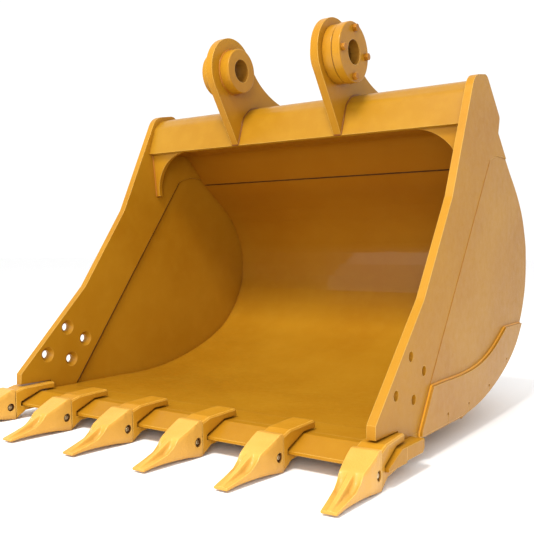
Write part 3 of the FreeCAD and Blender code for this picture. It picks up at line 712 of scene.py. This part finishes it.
def tip_mesh():
    bm = bmesh.new()
    sections = []
    for y in tip_stations():
        sections.append([mm(x, y, z) for x, z in tip_section(y)])
    rings = loft(bm, sections)
    # the rear face leans back with height, as the adapter's front face does
    for vert in rings[0] + rings[1] + rings[2]:
        share = (vert.co.z / MM - TIP_FOOT) / TIP_REAR_HEIGHT
        vert.co.y -= REAR_LEAN * MM * share
    return mesh_from(bm, "tip_form")


def socket_cutter():
    """The space that the adapter's nose fills, a millimetre larger all round."""
    bm = bmesh.new()
    sections = []
    for y, half, top, low in SOCKET:
        corners = ((-half, low), (half, low), (half, top), (-half, top))
        sections.append([mm(x, y, z) for x, z in corners])
    loft(bm, sections)
    return place_piece("socket_cutter", mesh_from(bm, "socket_cutter"))


def hole_cutter():
    """A round bar through the tip, for its pin's hole."""
    bm = bmesh.new()
    disc(bm, mm(0.0, PIN_Y, PIN_Z), PIN_HOLE_RADIUS * MM, 0.2, sides=40)
    return place_piece("hole_cutter", mesh_from(bm, "hole_cutter"))


def carved(mesh, *tools):
    """Mesh with the tools cut out of it."""
    base = place_piece("carve", mesh)
    for tool in tools:
        cut = base.modifiers.new("cut", "BOOLEAN")
        cut.operation = "DIFFERENCE"
        cut.solver = "EXACT"
        cut.object = tool
    bpy.context.view_layer.update()
    done = bpy.data.meshes.new_from_object(base.evaluated_get(bpy.context.evaluated_depsgraph_get()))
    for gone in (base,) + tools:
        bpy.data.objects.remove(gone)
    return done


def soften(mesh, degrees):
    """Smooth shading, with edges sharper than the angle left crisp."""
    for face in mesh.polygons:
        face.use_smooth = True
    mesh.set_sharp_from_angle(angle=math.radians(degrees))


# ---------------------------------------------------------------- teeth on the bucket

TOOTH_PITCH = 0.324
TOOTH_MIDDLE = 3.5          # the bucket's middle falls between teeth 3 and 4
CORNER_SHIFT = 0.004        # the corner teeth stand a little further out
CORNER_TURN_Y = -0.703      # they toe out about the cutting edge
CORNER_TURN_DEGREES = 4.9


def tooth_place(k):
    """Where tooth k stands: its middle, and for the corner teeth a small outward turn."""
    corner = (k == 6) - (k == 1)
    about = Matrix.Translation((0.0, CORNER_TURN_Y, 0.0))
    turn = about @ Matrix.Rotation(math.radians(CORNER_TURN_DEGREES) * corner, 4, "Z") @ about.inverted()
    return Matrix.Translation(((k - TOOTH_MIDDLE) * TOOTH_PITCH + corner * CORNER_SHIFT, 0.0, 0.0)) @ turn


def on_tooth(form, name, k):
    """A copy of a form, made for a tooth at mid width, moved to tooth k."""
    mesh = form.copy()
    mesh.transform(tooth_place(k))
    return place_piece(name, mesh)


tip_form = carved(tip_mesh(), socket_cutter(), hole_cutter())
soften(tip_form, 40.0)
tip_form.materials.clear()
tip_form.materials.append(cast_paint)
for k in TEETH:
    tip = on_tooth(tip_form, "tooth_tip_%d" % k, k)
    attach(tip, "bucket")
    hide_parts("tip_%d" % k)

# (radius, x) pairs in mm along a lock pin: a stepped-down end each way and a groove for its retainer
PIN_OUTLINE = ((6.5, -41.0), (7.5, -40.0), (7.5, -35.5), (10.0, -35.5), (11.0, -34.0), (11.0, 24.0),
               (9.6, 25.0), (9.6, 29.0), (11.0, 30.0), (11.0, 34.0), (10.0, 35.5), (7.5, 35.5), (7.5, 40.0),
               (6.5, 41.0))
PIN_SIDES = 40
SEAL_OUTER, SEAL_INNER = 15.9, 11.3         # mm: fills the tip's hole and lets the pin slide through
SEAL_SPANS = ((37.5, 39.5), (-39.5, -37.5))     # mm from the tooth's middle


def pin_mesh():
    bm = bmesh.new()
    loft(bm, [circle(x * MM, r * MM, PIN_Y * MM, PIN_Z * MM, PIN_SIDES) for r, x in PIN_OUTLINE])
    mesh = mesh_from(bm, "pin_form")
    soften(mesh, 35.0)
    mesh.materials.append(pin_steel)
    return mesh


pin_form = pin_mesh()
for k in TEETH:
    pin = on_tooth(pin_form, "tooth_pin_%d" % k, k)
    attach(pin, "lock_pin_%d" % k)
    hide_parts("lock_pin_%d" % k)


def seals():
    """Dark seal ring round each lock pin, just inside both faces of every tip; its darkness is painted
    shade in the pin hole.
    """
    bm = bmesh.new()
    for k in TEETH:
        for start, end in SEAL_SPANS:
            hollow_ring(bm, start * MM, end * MM, SEAL_OUTER * MM, SEAL_INNER * MM, PIN_Y * MM, PIN_Z * MM,
                        PIN_SIDES, tooth_place(k))
    solid("pin_seals", bm, shadow_dark, smooth=False)


seals()

# ---------------------------------------------------------------- stage, light and camera

FLOOR_HALF = 60.0
SKY_DIM_SIDE = (0.99, 0.0, 0.12)        # the sky is a little dimmer towards here
SKY_BRIGHT, SKY_DIM = 1.06, 0.85


def stage_floor():
    mat = new_material("floor_mat")
    g = Graph(mat)
    shader = g.add("ShaderNodeBsdfPrincipled", Roughness=0.9)
    shader.inputs["Base Color"].default_value = (0.98, 0.98, 0.98, 1.0)
    g.join(shader.outputs["BSDF"], g.out.inputs["Surface"])
    mesh = bpy.data.meshes.new("floor")
    corners = [(-FLOOR_HALF, -FLOOR_HALF, 0), (FLOOR_HALF, -FLOOR_HALF, 0), (FLOOR_HALF, FLOOR_HALF, 0),
               (-FLOOR_HALF, FLOOR_HALF, 0)]
    mesh.from_pydata(corners, [], [(0, 1, 2, 3)])
    mesh.materials.append(mat)
    floor = place_piece("floor", mesh)
    floor.location = (0, 0, cad_box[0][2] - 0.001)


def studio_sky():
    """White all round, dimmer towards one side."""
    world = bpy.data.worlds.new("studio")
    bpy.context.scene.world = world
    world.use_nodes = True
    tree = world.node_tree
    sky = tree.nodes["Background"]
    sky.inputs["Color"].default_value = (1.0, 1.0, 1.0, 1.0)
    place = tree.nodes.new("ShaderNodeTexCoord")
    towards = tree.nodes.new("ShaderNodeVectorMath")
    towards.operation = "DOT_PRODUCT"
    towards.inputs[1].default_value = SKY_DIM_SIDE
    power = tree.nodes.new("ShaderNodeMapRange")
    power.inputs["From Min"].default_value = 0.10
    power.inputs["From Max"].default_value = 0.90
    power.inputs["To Min"].default_value = SKY_BRIGHT
    power.inputs["To Max"].default_value = SKY_DIM
    tree.links.new(place.outputs["Generated"], towards.inputs[0])
    tree.links.new(towards.outputs["Value"], power.inputs["Value"])
    tree.links.new(power.outputs["Result"], sky.inputs["Strength"])


def lamp(name, place, target, width, height, power, colour):
    data = bpy.data.lights.new(name, "AREA")
    data.shape = "RECTANGLE"
    data.size = width
    data.size_y = height
    data.energy = power
    data.color = colour
    light = place_piece(name, data)
    light.location = place
    light.rotation_euler = (Vector(target) - Vector(place)).to_track_quat("-Z", "Y").to_euler()


def studio_camera():
    """The photograph's camera, as it was solved from the bucket's straight edges."""
    data = bpy.data.cameras.new("camera")
    data.lens = 51.18
    data.sensor_width = 36.0
    data.clip_end = 200.0
    camera = place_piece("camera", data)
    camera.location = (1.8213, -2.6961, -0.7927)
    camera.rotation_euler = (math.radians(90.0 - 1.22), 0.0, math.radians(34.94))
    bpy.context.scene.camera = camera


stage_floor()
studio_sky()
lamp("key", (0.6, -4.6, 4.8), (0.0, 0.0, -0.9), 2.0, 1.6, 560.0, (1.0, 0.985, 0.95))
lamp("fill", (2.8, -5.1, 0.3), (-0.8, 0.1, -0.9), 2.0, 2.0, 140.0, (1.0, 0.97, 0.93))
studio_camera()
bpy.context.scene.view_settings.view_transform = "Standard"
